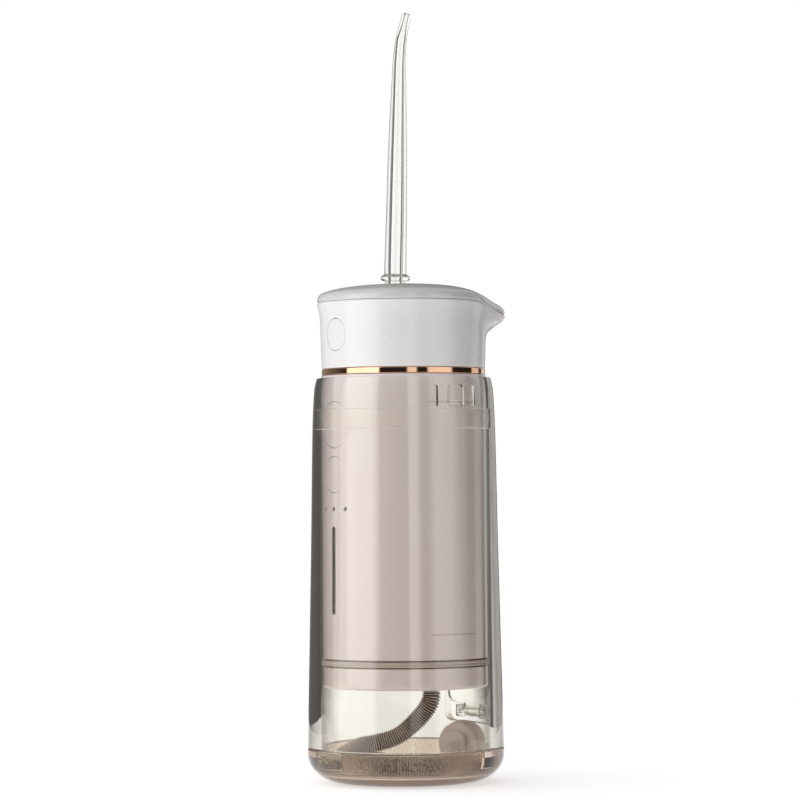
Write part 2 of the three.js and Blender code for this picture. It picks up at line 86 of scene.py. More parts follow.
NOZZLE_LINE = (
    (0, 0, 146), (0, 0, 156.5), (0.9, 0, 176), (1.7, 0, 196), (2.5, 0, 214), (3.1, 0, 224),
    (4.3, 0, 230.5), (7.2, 0, 237),
)

# ---------- camera ----------
CAMERA_AZIMUTH = 54.5          # degrees round from -Y
CAMERA_DISTANCE = 1.054
CAMERA_HEIGHT = 0.0907
CAMERA_ROLL = 0.4
LOOK_HEIGHT = 0.118
LOOK_ASIDE = -0.0011
toward = Vector((math.sin(math.radians(CAMERA_AZIMUTH)), -math.cos(math.radians(CAMERA_AZIMUTH)), 0))
sideways = Vector((-toward.y, toward.x, 0))


def make_camera():
    data = bpy.data.cameras.new("camera")
    data.lens = 153
    data.sensor_width = 36
    data.clip_start = 0.05
    data.clip_end = 60
    camera = bpy.data.objects.new("camera", data)
    bpy.context.scene.collection.objects.link(camera)
    camera.location = toward * CAMERA_DISTANCE + Vector((0, 0, CAMERA_HEIGHT))
    look = sideways * LOOK_ASIDE + Vector((0, 0, LOOK_HEIGHT)) - camera.location
    roll = Quaternion((0, 0, 1), math.radians(-CAMERA_ROLL))
    camera.rotation_mode = "QUATERNION"
    camera.rotation_quaternion = look.to_track_quat("-Z", "Y") @ roll
    bpy.context.scene.camera = camera


# ---------- mesh helpers ----------
def smooth_step(value, low, high):
    share = min(max((value - low) / (high - low), 0), 1)
    return share * share * (3 - 2 * share)


def spaced(points, count):
    """Points evenly spaced along a centripetal Catmull-Rom curve through the given ones."""
    known = [Vector(p) for p in points]
    known = [known[0] * 2 - known[1], *known, known[-1] * 2 - known[-2]]
    fine = []
    for p0, p1, p2, p3 in zip(known, known[1:], known[2:], known[3:]):
        a = (p1 - p0).length ** 0.5
        b = (p2 - p1).length ** 0.5
        c = (p3 - p2).length ** 0.5
        leave = ((p1 - p0) / a - (p2 - p0) / (a + b) + (p2 - p1) / b) * b
        enter = ((p2 - p1) / b - (p3 - p1) / (b + c) + (p3 - p2) / c) * b
        for k in range(40):
            t = k / 40
            fine.append(
                p1 * (2 * t**3 - 3 * t**2 + 1) + leave * (t**3 - 2 * t**2 + t)
                + p2 * (3 * t**2 - 2 * t**3) + enter * (t**3 - t**2)
            )
    fine.append(known[-2])
    reach = [0]
    for near, far in zip(fine, fine[1:]):
        reach.append(reach[-1] + (far - near).length)
    found = []
    at = 0
    for k in range(count):
        goal = reach[-1] * k / (count - 1)
        while at < len(fine) - 2 and reach[at + 1] < goal:
            at += 1
        found.append(fine[at].lerp(fine[at + 1], (goal - reach[at]) / (reach[at + 1] - reach[at])))
    return found


def curve(points, count):
    """The same curve for a profile of (radius, height) points."""
    return [(p.x, p.z) for p in spaced([(radius, 0, height) for radius, height in points], count)]


def rounded(profile, steps=5):
    """Rounds the corners of a closed profile of (radius, height) or (radius, height, fillet) points."""
    made = []
    for i, corner in enumerate(profile):
        here = Vector(corner[:2])
        if len(corner) < 3:
            made.append(here)
            continue
        before = (Vector(profile[i - 1][:2]) - here).normalized()
        after = (Vector(profile[(i + 1) % len(profile)][:2]) - here).normalized()
        half = before.angle(after) / 2
        centre = here + (before + after).normalized() * (corner[2] / math.sin(half))
        start = here + before * (corner[2] / math.tan(half)) - centre
        end = here + after * (corner[2] / math.tan(half)) - centre
        for k in range(steps + 1):
            made.append(centre + start.lerp(end, k / steps).normalized() * corner[2])
    return made


def new_piece(name, shape):
    bmesh.ops.recalc_face_normals(shape, faces=shape.faces)
    mesh = bpy.data.meshes.new(name)
    shape.to_mesh(mesh)
    shape.free()
    piece = bpy.data.objects.new(name, mesh)
    bpy.context.scene.collection.objects.link(piece)
    return piece


def bridge(shape, low, high):
    """Faces between two rings, either of which may be a single point."""
    count = max(len(low), len(high))
    for k in range(count):
        n = k + 1
        corners = [low[k % len(low)], low[n % len(low)], high[n % len(high)], high[k % len(high)]]
        shape.faces.new(list(dict.fromkeys(corners)))


def lathe(name, profile, segments=SEGMENTS, closed=False):
    """A profile of (radius, height) turned about +Z. A closed one is a ring, others end on the axis."""
    shape = bmesh.new()
    turns = [2 * math.pi * k / segments for k in range(segments)]
    rings = []
    for radius, height in profile:
        if radius < 1e-6:
            rings.append([shape.verts.new((0, 0, height))])
        else:
            places = [(radius * math.cos(t), radius * math.sin(t), height) for t in turns]
            rings.append([shape.verts.new(place) for place in places])
    for low, high in zip(rings, rings[1:]):
        bridge(shape, low, high)
    if closed:
        bridge(shape, rings[-1], rings[0])
    return new_piece(name, shape)


def outline(width, bottom, top, corner, grow=0, steps=10):
    """A rectangle with round corners in the XZ plane, as points no more than 0.7 mm apart."""
    half = width / 2 + grow
    radius = corner + grow
    middles = (
        (half - radius, top + grow - radius), (radius - half, top + grow - radius),
        (radius - half, bottom - grow + radius), (half - radius, bottom - grow + radius),
    )
    rough = []
    for quarter, (x, z) in enumerate(middles):
        for k in range(steps + 1):
            turn = (quarter + k / steps) * math.pi / 2
            rough.append(Vector((x + radius * math.cos(turn), z + radius * math.sin(turn))))
    points = []
    for near, far in zip(rough, rough[1:] + rough[:1]):
        gap = (far - near).length
        if gap > 1e-4:
            pieces = max(1, math.ceil(gap / 0.7))
            points += [near.lerp(far, k / pieces) for k in range(pieces)]
    return points


def plate(name, frame_of, layers, turn=0, crown=0, rings=7):
    """A solid lying on a cylinder about +Z. frame_of(grow) is its outline seen along +Y, layers are
    (radius, grow) pairs from its inner face outward, and turn carries it from -Y round +Z in degrees.
    crown raises the middle of its outer face."""
    shape = bmesh.new()
    count = min(len(frame_of(grow)) for _, grow in layers)

    def loop(radius, grow, share=1, lift=0):
        points = resampled(frame_of(grow), count)
        middle = sum(p.y for p in points) / count
        reach = radius + lift
        made = []
        for p in points:
            x = p.x * share
            made.append(shape.verts.new((x, -math.sqrt(reach**2 - x**2), middle + (p.y - middle) * share)))
        return made

    def cap(radius, grow, outer, rise):
        last = outer
        for k in range(rings - 1, 0, -1):
            share = k / rings
            inner = loop(radius, grow, share, rise * (1 - share**2))
            bridge(shape, last, inner)
            last = inner
        middle = sum(v.co.z for v in last) / count
        bridge(shape, last, [shape.verts.new((0, -radius - rise, middle))])

    loops = [loop(radius, grow) for radius, grow in layers]
    for low, high in zip(loops, loops[1:]):
        bridge(shape, low, high)
    cap(*layers[0], loops[0], 0)
    cap(*layers[-1], loops[-1], crown)
    piece = new_piece(name, shape)
    piece.data.transform(Matrix.Rotation(math.radians(turn), 4, "Z"))
    return piece


def resampled(points, count):
    """The same number of points round every loop of a plate, kept in step with each other."""
    ends = points + points[:1]
    reach = [0]
    for near, far in zip(ends, ends[1:]):
        reach.append(reach[-1] + (far - near).length)
    found = []
    at = 0
    for k in range(count):
        goal = reach[-1] * k / count
        while reach[at + 1] < goal:
            at += 1
        found.append(ends[at].lerp(ends[at + 1], (goal - reach[at]) / (reach[at + 1] - reach[at])))
    return found


def bar(low, high, turn=0, edge=0):
    """A box from one corner to the other with softened edges, turned about +Z."""
    shape = bmesh.new()
    bmesh.ops.create_cube(shape, size=1)
    low = Vector(low)
    high = Vector(high)
    for vertex in shape.verts:
        vertex.co = Vector(c * (b - a) + (a + b) / 2 for c, a, b in zip(vertex.co, low, high))
    if edge:
        bmesh.ops.bevel(shape, geom=shape.edges[:], offset=edge, segments=3, affect="EDGES", profile=0.5)
    piece = new_piece("bar", shape)
    piece.data.transform(Matrix.Rotation(math.radians(turn), 4, "Z"))
    return piece


def rod(axis, radius, length, middle, edge=0.15, segments=64):
    """A cylinder with softened ends along an axis."""
    half = length / 2
    profile = [(0, -half), (radius, -half), (radius, half), (0, half)]
    if edge:
        profile[1:3] = [
            (radius - edge, -half), (radius, edge - half), (radius, half - edge), (radius - edge, half),
        ]
    piece = lathe("rod", profile, segments)
    if axis == "x":
        piece.data.transform(Matrix.Rotation(math.pi / 2, 4, "Y"))
    if axis == "y":
        piece.data.transform(Matrix.Rotation(math.pi / 2, 4, "X"))
    piece.data.transform(Matrix.Translation(middle))
    return piece


def combined(piece, tools, operation):
    """Applies an exact Boolean of tools that don't touch each other, and removes them."""
    together = bmesh.new()
    for tool in tools:
        together.from_mesh(tool.data)
        bpy.data.objects.remove(tool)
    tool = new_piece("tool", together)
    modifier = piece.modifiers.new("shape", "BOOLEAN")
    modifier.solver = "EXACT"
    modifier.operation = operation
    modifier.object = tool
    applied(piece)
    bpy.data.objects.remove(tool)
    return piece


def applied(piece):
    """Makes the outcome of a piece's modifiers its own mesh."""
    bpy.context.view_layer.update()
    graph = bpy.context.evaluated_depsgraph_get()
    shown = piece.evaluated_get(graph)
    piece.data = bpy.data.meshes.new_from_object(shown, preserve_all_data_layers=True, depsgraph=graph)
    piece.modifiers.clear()


def carve(piece, *tools):
    return combined(piece, tools, "DIFFERENCE")


def merge(piece, *others):
    for other in others:
        combined(piece, [other], "UNION")
    return piece


def bent(piece, change):
    for vertex in piece.data.vertices:
        vertex.co = change(vertex.co)
    return piece


def settle(piece, name, material, body, nodes, crease=32):
    """Turns a finished shape into a piece in metres that stands for its CAD nodes. Its shading is
    evened so that flat faces stay flat beside their softened edges."""
    piece.name = name
    piece.data.transform(Matrix.Scale(MM, 4))
    piece.data.materials.clear()
    piece.data.materials.append(material)
    piece.data.shade_smooth()
    piece.data.set_sharp_from_angle(angle=math.radians(crease))
    even = piece.modifiers.new("even", "WEIGHTED_NORMAL")
    even.keep_sharp = True
    applied(piece)
    piece.data.name = name
    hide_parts(*nodes)
    if body:
        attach(piece, body)
    return piece


# ---------- material helpers ----------
def linear(red, green, blue):
    """A colour of 0 to 255 steps as the linear colour that a shader takes."""
    def channel(step):
        share = step / 255
        return share / 12.92 if share <= 0.04045 else ((share + 0.055) / 1.055) ** 2.4
    return (channel(red), channel(green), channel(blue), 1)


def put(tree, kind, values=None, **settings):
    """Adds a node. values gives its inputs by name or place, each a number, a colour or a socket."""
    made = tree.nodes.new(kind)
    for key, value in settings.items():
        setattr(made, key, value)
    for key, value in (values or {}).items():
        if isinstance(value, bpy.types.NodeSocket):
            tree.links.new(value, made.inputs[key])
        else:
            made.inputs[key].default_value = value
    return made


def math_node(tree, operation, one, other=0.0):
    return put(tree, "ShaderNodeMath", {0: one, 1: other}, operation=operation).outputs[0]


def noise(tree, scale, detail=2, where=None, roughness=0.5):
    """A noise pattern with its features 1/scale metres apart."""
    where = where or put(tree, "ShaderNodeTexCoord").outputs["Object"]
    values = {"Vector": where, "Scale": scale, "Detail": detail, "Roughness": roughness}
    return put(tree, "ShaderNodeTexNoise", values).outputs["Fac"]


def between(tree, value, low, high, start=0.3, end=0.7):
    values = {"Value": value, "From Min": start, "From Max": end, "To Min": low, "To Max": high}
    return put(tree, "ShaderNodeMapRange", values).outputs[0]


def blended(tree, share, one, other):
    made = tree.nodes.new("ShaderNodeMix")
    made.data_type = "RGBA"
    tree.links.new(share, made.inputs["Factor"])
    made.inputs[6].default_value = one
    made.inputs[7].default_value = other
    return made.outputs[2]


def bumps(tree, heights):
    """Stacks (height, strength, distance in metres) into one normal."""
    normal = None
    for height, strength, distance in heights:
        values = {"Height": height, "Strength": strength, "Distance": distance}
        if normal:
            values["Normal"] = normal
        normal = put(tree, "ShaderNodeBump", values).outputs[0]
    return normal


def empty_material(name):
    material = bpy.data.materials.new(name)
    material.use_nodes = True
    material.node_tree.nodes.clear()
    tree = material.node_tree
    shader = put(tree, "ShaderNodeBsdfPrincipled")
    output = put(tree, "ShaderNodeOutputMaterial", {"Surface": shader.outputs[0]})
    return material, tree, shader, output


def moulded(name, light, dark, gloss, grain, grain_depth, **fixed):
    """A moulded plastic or rubber: two close tones that drift into each other, a roughness that
    varies with the mould's finish and handling, and a fine grain with shallow flow ripples."""
    material, tree, shader, _ = empty_material(name)
    drift = noise(tree, 90, 3)
    tree.links.new(blended(tree, between(tree, drift, 0, 1), light, dark), shader.inputs["Base Color"])
    wear = math_node(tree, "ADD", noise(tree, 300, 2), math_node(tree, "MULTIPLY", drift, 0.4))
    tree.links.new(between(tree, wear, *gloss, 0.45, 0.95), shader.inputs["Roughness"])
    heights = [(noise(tree, grain, 2), 0.5, grain_depth), (noise(tree, 50, 1), 0.2, 0.000004)]
    tree.links.new(bumps(tree, heights), shader.inputs["Normal"])
    for socket, value in fixed.items():
        shader.inputs[socket.replace("_", " ")].default_value = value
    return material


def glazed(name, tint, edge, shade, gloss, ripple, absorb, density, bend=1.5, rough_lugs=False,
           edge_shade_span=(0.42, 0.8)):
    """A clear plastic whose colour is painted darker where it is seen edge on: a painted shade that stands in
    for the dark room seen refracted at its edges. Lamps and the gloss of what is inside pass straight through
    it, tinted by shade, and the camera sees it refract."""
    material, tree, shader, output = empty_material(name)
    shader.inputs["Transmission Weight"].default_value = 1
    shader.inputs["IOR"].default_value = bend
    slant = put(tree, "ShaderNodeLayerWeight", {"Blend": 0.5}).outputs["Facing"]
    drift = math_node(tree, "MULTIPLY", noise(tree, 60, 2), 0.08)
    # painted shade: the colour turns from the tint to the edge colour where the surface is seen edge on,
    # standing in for dark surroundings refracted at the edges
    depth = between(tree, math_node(tree, "ADD", slant, drift), 0, 1, *edge_shade_span)
    tree.links.new(blended(tree, depth, tint, edge), shader.inputs["Base Color"])
    smear = noise(tree, 260, 4)
    tree.links.new(between(tree, smear, *gloss, 0.4, 0.75), shader.inputs["Roughness"])
    heights = [(noise(tree, 40, 1), 0.35, ripple), (noise(tree, 700, 1), 0.2, 0.000002)]
    if rough_lugs:
        heights.append((lug_grain(tree), 0.9, 0.00025))
    tree.links.new(bumps(tree, heights), shader.inputs["Normal"])
    path = put(tree, "ShaderNodeLightPath")
    passed = math_node(tree, "MAXIMUM", path.outputs["Is Shadow Ray"], path.outputs["Is Diffuse Ray"])
    mirrored = math_node(tree, "SUBTRACT", path.outputs["Is Glossy Ray"], path.outputs["Is Transmission Ray"])
    passed = math_node(tree, "MAXIMUM", passed, mirrored)
    straight = put(tree, "ShaderNodeBsdfTransparent", {"Color": shade})
    mixed = put(tree, "ShaderNodeMixShader", {0: passed, 1: shader.outputs[0], 2: straight.outputs[0]})
    tree.links.new(mixed.outputs[0], output.inputs["Surface"])
    inside = put(tree, "ShaderNodeVolumeAbsorption", {"Color": absorb, "Density": float(density)})
    tree.links.new(inside.outputs[0], output.inputs["Volume"])
    return material


def lug_grain(tree):
    """A coarse sparkle on the bayonet lugs low on the tank's spigot, and nothing elsewhere."""
    where = put(tree, "ShaderNodeTexCoord").outputs["Object"]
    split = put(tree, "ShaderNodeSeparateXYZ", {0: where})
    low = between(tree, split.outputs[2], 1, 0, 0.0096, 0.0098)
    return math_node(tree, "MULTIPLY", noise(tree, 900, 2, where), low)


def metal(name, colour, gloss, brush_scale, brush_depth):
    """A plated or turned metal with fine lines running round +Z."""
    material, tree, shader, _ = empty_material(name)
    shader.inputs["Metallic"].default_value = 1
    where = put(tree, "ShaderNodeTexCoord").outputs["Object"]
    drift = noise(tree, 120, 2, where)
    darker = tuple(c * 0.86 for c in colour[:3]) + (1,)
    tree.links.new(blended(tree, between(tree, drift, 0, 1), colour, darker), shader.inputs["Base Color"])
    split = put(tree, "ShaderNodeSeparateXYZ", {0: where})
    height = math_node(tree, "MULTIPLY", split.outputs[2], brush_scale)
    level = put(tree, "ShaderNodeCombineXYZ", {2: height})
    lines = noise(tree, 1, 3, level.outputs[0])
    tree.links.new(between(tree, drift, *gloss), shader.inputs["Roughness"])
    heights = [(lines, 0.3, brush_depth), (noise(tree, 500, 2, where), 0.15, 0.000008)]
    tree.links.new(bumps(tree, heights), shader.inputs["Normal"])
    return material


def board_material():
    """Green circuit board with copper tracks under the mask and a woven grain."""
    material, tree, shader, _ = empty_material("circuit_green")
    where = put(tree, "ShaderNodeTexCoord").outputs["Object"]
    tracks = put(tree, "ShaderNodeTexBrick", {
        "Vector": where, "Color1": linear(30, 84, 52), "Color2": linear(38, 98, 60),
        "Mortar": linear(120, 128, 62), "Scale": 260.0, "Mortar Size": 0.06,
    })
    tree.links.new(tracks.outputs["Color"], shader.inputs["Base Color"])
    tree.links.new(between(tree, noise(tree, 900, 2), 0.3, 0.5), shader.inputs["Roughness"])
    heights = [(tracks.outputs["Fac"], 0.4, 0.00004), (noise(tree, 3000, 1), 0.2, 0.00001)]
    tree.links.new(bumps(tree, heights), shader.inputs["Normal"])
    return material


def make_materials():
    clear = linear(254, 254, 252)
    shade = linear(252, 251, 249)
    return {
        # The edge colour of each glazed material is painted shade: the part is coloured darker where it is
        # seen edge on, standing in for dark surroundings refracted at its edges.
        "smoky_plastic": glazed("smoky_tank", clear, linear(60, 50, 40), shade, (0.0, 0.03), 0.00003,
                                linear(200, 184, 150), 40, rough_lugs=True, edge_shade_span=(0.42, 0.8)),
        "smoky_foot": glazed("smoky_foot", linear(250, 238, 222), linear(110, 84, 58), shade, (0.0, 0.04),
                             0.00003, linear(178, 142, 106), 160),
        "clear_plastic": glazed("clear_resin", clear, linear(110, 110, 106), shade, (0.0, 0.03), 0.00002,
                                linear(200, 206, 200), 6),
        "collar_plastic": glazed("collar_resin", clear, linear(250, 249, 246), clear, (0.0, 0.03), 0.00002,
                                 linear(230, 228, 220), 2, 1.03),
        "beige_plastic": moulded("beige_casing", linear(234, 222, 224), linear(232, 220, 222), (0.2, 0.25),
                                 1100, 0.0000008, Coat_Weight=1.0, Coat_Roughness=0.05),
        "white_plastic": moulded("white_head", linear(241, 239, 238), linear(240, 238, 237), (0.26, 0.31),
                                 1100, 0.0000006, Coat_Weight=0.4, Coat_Roughness=0.1),
        "grey_plastic": moulded("grey_cap", linear(220, 220, 220), linear(218, 218, 218), (0.16, 0.2),
                                1000, 0.0000006, Coat_Weight=0.5, Coat_Roughness=0.06),
        "rose_metal": metal("rose_plating", linear(248, 200, 164), (0.01, 0.04), 4000, 0.0000003),
        "hose_rubber": hose_material(),
        "weight_plastic": moulded("weight_resin", linear(196, 180, 174), linear(188, 171, 165), (0.36, 0.5),
                                  900, 0.000003),
        "seal_rubber": moulded("silicone_seal", linear(204, 189, 183), linear(194, 179, 173), (0.4, 0.55),
                               1700, 0.00001, Sheen_Weight=0.15, Sheen_Roughness=0.4),
        "steel": metal("turned_steel", linear(196, 198, 200), (0.22, 0.36), 9000, 0.00001),
        "dark_plastic": moulded("dark_resin", linear(44, 34, 34), linear(34, 26, 26), (0.2, 0.35),
                                2000, 0.00001),
        "board": board_material(),
        "battery_wrap": moulded("battery_sleeve", linear(66, 132, 178), linear(56, 116, 160), (0.3, 0.42),
                                800, 0.00003, Coat_Weight=0.5, Coat_Roughness=0.2),
    }


def hose_material():
    """A smoky, half clear vinyl, coloured with painted shade in the grooves of its ribs and painted
    highlights on their crests.
    """
    material, tree, shader, output = empty_material("smoky_hose")
    shader.inputs["Transmission Weight"].default_value = 0.3
    shader.inputs["IOR"].default_value = 1.25
    crest = put(tree, "ShaderNodeAttribute", attribute_name="rib").outputs["Fac"]
    crest = math_node(tree, "ADD", crest, math_node(tree, "MULTIPLY", noise(tree, 120, 3), 0.2))
    # painted shade in the grooves and painted highlights on the crests, from the rib attribute
    painted_rib_shading = blended(tree, between(tree, crest, 0, 1, 0.2, 1), linear(58, 48, 42), linear(228, 214, 204))
    tree.links.new(painted_rib_shading, shader.inputs["Base Color"])
    tree.links.new(between(tree, noise(tree, 800, 2), 0.14, 0.3), shader.inputs["Roughness"])
    heights = [(noise(tree, 1500, 2), 0.4, 0.00001), (noise(tree, 200, 1), 0.3, 0.00003)]
    tree.links.new(bumps(tree, heights), shader.inputs["Normal"])
    path = put(tree, "ShaderNodeLightPath")
    straight = put(tree, "ShaderNodeBsdfTransparent", {"Color": linear(150, 136, 128)})
    mixed = put(tree, "ShaderNodeMixShader", {0: path.outputs["Is Shadow Ray"], 1: shader.outputs[0],
                                              2: straight.outputs[0]})
    tree.links.new(mixed.outputs[0], output.inputs["Surface"])
    return material


# ---------- tank ----------
def make_tank(looks):
    outside = curve([
        (30.34, 11.5), (29.8, 34), (29.0, 71), (28.3, 109), (27.98, 117), (27.75, 120.6), (27.45, 122.8),
        (27.15, 123.9),
    ], 50)
    wall = lathe("wall", rounded([
        (TANK_BORE, 4.5, 0.2), (27.6, 4.5, 0.4), (27.6, 10.7, 0.15), (30.35, 10.9, 0.25), *outside,
        (26.9, TANK_TOP, 0.25), (TANK_BORE, TANK_TOP, 0.2), (TANK_BORE, 114.9, 0.1), (27.0, 114.9, 0.15),
        (27.0, 108.8, 0.15), (TANK_BORE, 108.8, 0.1),
    ]), closed=True)
    lugs = [bar((-6, -28.3, 5.8), (6, -26.8, 9.8), turn, 0.3) for turn in LUG_TURNS]
    ears = []
    for side in (-1, 1):
        x = side * 6.7
        ears.append(rod("x", 1.9, 3, (x, PIN_Y, PIN_Z), 0.3))
        ears.append(bar((x - 1.5, 26.6, 18.1), (x + 1.5, PIN_Y, 21.9), 0, 0.2))
    recess = plate("recess", lambda g: outline(24, 16.6, 59.6, 2.4, g),
                   [(LID_RECESS, -0.35), (LID_RECESS + 0.1, -0.1), (LID_RECESS + 0.35, 0), (33, 0)], 180)
    merge(wall, *lugs)
    carve(wall, recess)
    merge(wall, *ears)
    cuts = [
        plate("port", lambda g: outline(19.6, 27.8, 56.2, 9.7, g), [(22, 0), (33, 0)], 180),
        rod("x", 2.2, 9.8, (0, PIN_Y, PIN_Z), 0.1),
        rod("x", 1.5, 30, (0, PIN_Y, PIN_Z), 0),
    ]
    through = [(25.5, 0), (29, 0)]
    for turn in (90, -90):
        cuts.append(plate("window", lambda g: outline(5.4, 115.05, 122.2, 1.3, g), through, turn))
        for way in (-14.5, 14.5):
            cuts.append(plate("slot", lambda g: outline(1, 115.3, 121.9, 0.49, g), through, turn + way))
    carve(wall, *cuts)
    settle(wall, "tank_wall", looks["smoky_plastic"], "tank", ["tank_shell"])

    corner = []
    for step in range(FOOT_STEPS + 1):
        turn = step / FOOT_STEPS * math.pi / 2
        corner.append((FOOT_FLAT + FOOT_WIDTH * math.sin(turn), FOOT_HEIGHT * (1 - math.cos(turn))))
    cup = lathe("cup", [
        (0, 0), *corner, (30.4, 10.2), (30.1, 10.5), (28.2, 10.5),
        (27.9, 10.2), (27.9, 5.6), (27.75, 4.6), (27.3, 3.7), (26.6, 3.15), (25.6, 3), (0, 3),
    ])
    pockets = [bar((-6.3, -28.6, 5.3), (6.3, -27, 11), turn, 0.25) for turn in LUG_TURNS]
    carve(cup, *pockets)
    settle(cup, "tank_foot", looks["smoky_foot"], "tank", ["tank_base"])

    seal = lathe("seal", rounded([
        (25.4, 3.3, 0.4), (26.6, 3.3, 0.4), (26.6, 4.2, 0.4), (25.4, 4.2, 0.4),
    ]), closed=True)
    settle(seal, "foot_seal", looks["seal_rubber"], "tank", ["base_seal_ring"])
    guide = lathe("guide", rounded([
        (25.75, 109.1, 0.3), (26.7, 109.1, 0.2), (26.7, 114.6, 0.2), (25.75, 114.6, 0.3), (25.9, 112.4, 0.3),
        (25.9, 111.3, 0.3),
    ]), closed=True)
    settle(guide, "slide_collar", looks["collar_plastic"], "tank", ["guide_collar"])
    pin = rod("x", 1.2, 17, (0, PIN_Y, PIN_Z), 0.35)
    settle(pin, "lid_pin", looks["clear_plastic"], "tank", ["lid_hinge_pin"])


def make_fill_lid(looks):
    skin = [(27.7, -0.2), (27.9, 0), (29.15, 0), (29.4, -0.12), (29.5, -0.35)]
    flap = plate("flap", lambda g: outline(22.5, 22.4, 59, 3, g), skin, 180, rings=12)
    tongue = plate("tongue", lambda g: outline(9.2, 20, 25, 0.8, g), [(27.75, 0), (29.35, 0)], 180)
    barrel = rod("x", 1.9, 9.2, (0, PIN_Y, PIN_Z), 0.25)
    merge(flap, tongue, barrel)
    dimples = [
        plate("dimple", lambda g: outline(8, z, z + 0.6, 0.29, g), [(29.2, 0), (31, 0)], 180)
        for z in (53, 54.4, 55.8)
    ]
    carve(flap, rod("x", 1.5, 12, (0, PIN_Y, PIN_Z), 0), *dimples)
    settle(flap, "lid_flap", looks["clear_plastic"], "lid", ["fill_lid"])
    seal = plate("seal", lambda g: outline(18.8, 28.2, 55.8, 9.3, g),
                 [(26.6, -0.3), (26.75, -0.08), (26.95, 0), (27.2, 0), (27.4, -0.15)], 180, rings=10)
    settle(seal, "lid_gasket", looks["seal_rubber"], "lid", ["fill_lid_seal"])


def make_latches(looks):
    for side, turn in (("right", 90), ("left", -90)):
        layers = [(26.45, -0.1), (26.6, 0), (27.25, 0), (27.4, -0.15)]
        tongue = plate("tongue", lambda g: outline(4.8, 115.3, 121.9, 1.1, g), layers, turn)
        layers = [(25.8, -0.2), (26.0, 0), (26.7, 0)]
        ridge = plate("ridge", lambda g: outline(4, 116.3, 117.3, 0.3, g), layers, turn)
        merge(tongue, ridge)
        name = f"latch_{side}"
        settle(tongue, f"catch_{side}", looks["smoky_plastic"], name, [name])


# ---------- suction hose and weight ----------
def make_hose(looks):
    """A ribbed tube: each rib has a crest and a groove, and the rings turn with the route. The height within
    a rib, 1 on the crest, is kept as "rib" for the material, which paints shade in the grooves and highlights
    on the crests from it."""
    length = path_length(spaced(HOSE_ROUTE, 400))
    ribs = round(length / HOSE_RIB_PITCH)
    steps = ribs * HOSE_RIB_STEPS
    line = spaced(HOSE_ROUTE, steps + 1)
    shape = bmesh.new()
    rib = shape.verts.layers.float.new("rib")
    across = Vector((1, 0, 0))
    last = None
    for i, middle in enumerate(line):
        way = (line[min(i + 1, steps)] - line[max(i - 1, 0)]).normalized()
        across = (across - way * across.dot(way)).normalized()
        other = way.cross(across)
        wave = 0.5 + 0.5 * math.cos(2 * math.pi * i / HOSE_RIB_STEPS)
        radius = HOSE_DIAMETER / 2 - HOSE_RIB_DEPTH * (1 - wave**1.6)
        ring = []
        for k in range(HOSE_SIDES):
            turn = 2 * math.pi * k / HOSE_SIDES
            aside = (across * math.cos(turn) + other * math.sin(turn)) * radius
            ring.append(shape.verts.new(middle + aside))
            ring[-1][rib] = wave
        if last:
            bridge(shape, last, ring)
        else:
            bridge(shape, ring, [shape.verts.new(middle)])
        last = ring
    bridge(shape, last, [shape.verts.new(line[-1])])
    hose = settle(new_piece("hose", shape), "intake_hose", looks["hose_rubber"], None,
                  ["suction_hose"], 80)
    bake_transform(hose)
    return hose, [p * MM for p in line[::4]], length * MM


def path_length(points):
    return sum((far - near).length for near, far in zip(points, points[1:]))


def along_weight(piece):
    way = (WEIGHT_REAR - WEIGHT_FRONT).normalized()
    turn = Vector((0, 0, 1)).rotation_difference(way).to_matrix().to_4x4()
    piece.data.transform(Matrix.Translation(WEIGHT_FRONT) @ turn)
    return piece


def make_weight(looks):
    resin = looks["weight_plastic"]
    collar = lathe("collar", [
        (0, -2.6), (3.0, -2.6), (3.3, -2.45), (3.4, -2.2), (3.4, -0.9), (3.2, -0.6), (0, -0.6),
    ], 96)
    settle(along_weight(collar), "weight_collar", resin, "tank", ["weight_hose_barb"])
    barrel = lathe("barrel", [
        (0, -0.3), (5.6, -0.3), (5.9, -0.22), (6.1, -0.02), (6.2, 0.3),
        (6.2, 1.4), (6.05, 1.65), (5.4, 2.0), (5.2, 2.3), (5.2, 2.8), (5.5, 2.95), (6.6, 3.35),
        (7.05, 3.65), (7.2, 4.1), (7.2, 6.9), (7.1, 7.3), (6.8, 7.7), (6.0, 8.4), (5.5, 8.6), (0, 8.6),
    ], 128)
    flutes = []
    for k in range(12):
        turn = 2 * math.pi * k / 12
        flute = rod("z", 0.4, 3.4, (7.35 * math.cos(turn), 7.35 * math.sin(turn), 5.6), 0.2, 24)
        flutes.append(flute)
    carve(barrel, *flutes)
    settle(along_weight(barrel), "weight_barrel", resin, "tank", ["suction_weight"])
    strainer = lathe("strainer", [
        (0, 8.9), (4.9, 8.9), (5.15, 9.0), (5.2, 9.15), (5.2, 9.65), (5.1, 9.85), (4.85, 9.9), (0, 9.9),
    ], 96)
    holes = []
    for radius, count in ((1.3, 6), (2.7, 12), (4.1, 18)):
        for k in range(count):
            turn = 2 * math.pi * k / count
            middle = (radius * math.cos(turn), radius * math.sin(turn), 10.3)
            holes.append(rod("z", 0.38, 3, middle, 0.05, 16))
    carve(strainer, *holes)
    settle(along_weight(strainer), "weight_mesh", looks["steel"], "tank", ["weight_strainer"])
    return [bpy.data.objects[name] for name in ("weight_collar", "weight_barrel", "weight_mesh")]


# ---------- body casing ----------
def disc_outline(radius, height):
    """The outline of a round button or hole, for a plate."""
    return lambda grow: outline(2 * radius, height - radius, height + radius, radius, grow, 24)


def round_hole(radius, height, depth, edge):
    """A tool for a round hole through the casing's front, with a softened rim."""
    layers = [(BODY_RADIUS - depth, 0), (BODY_RADIUS - edge, 0), (BODY_RADIUS - edge * 0.3, edge * 0.3)]
    layers += [(BODY_RADIUS + 0.02, edge), (BODY_RADIUS + 1.5, edge)]
    return plate("hole", disc_outline(radius, height), layers)


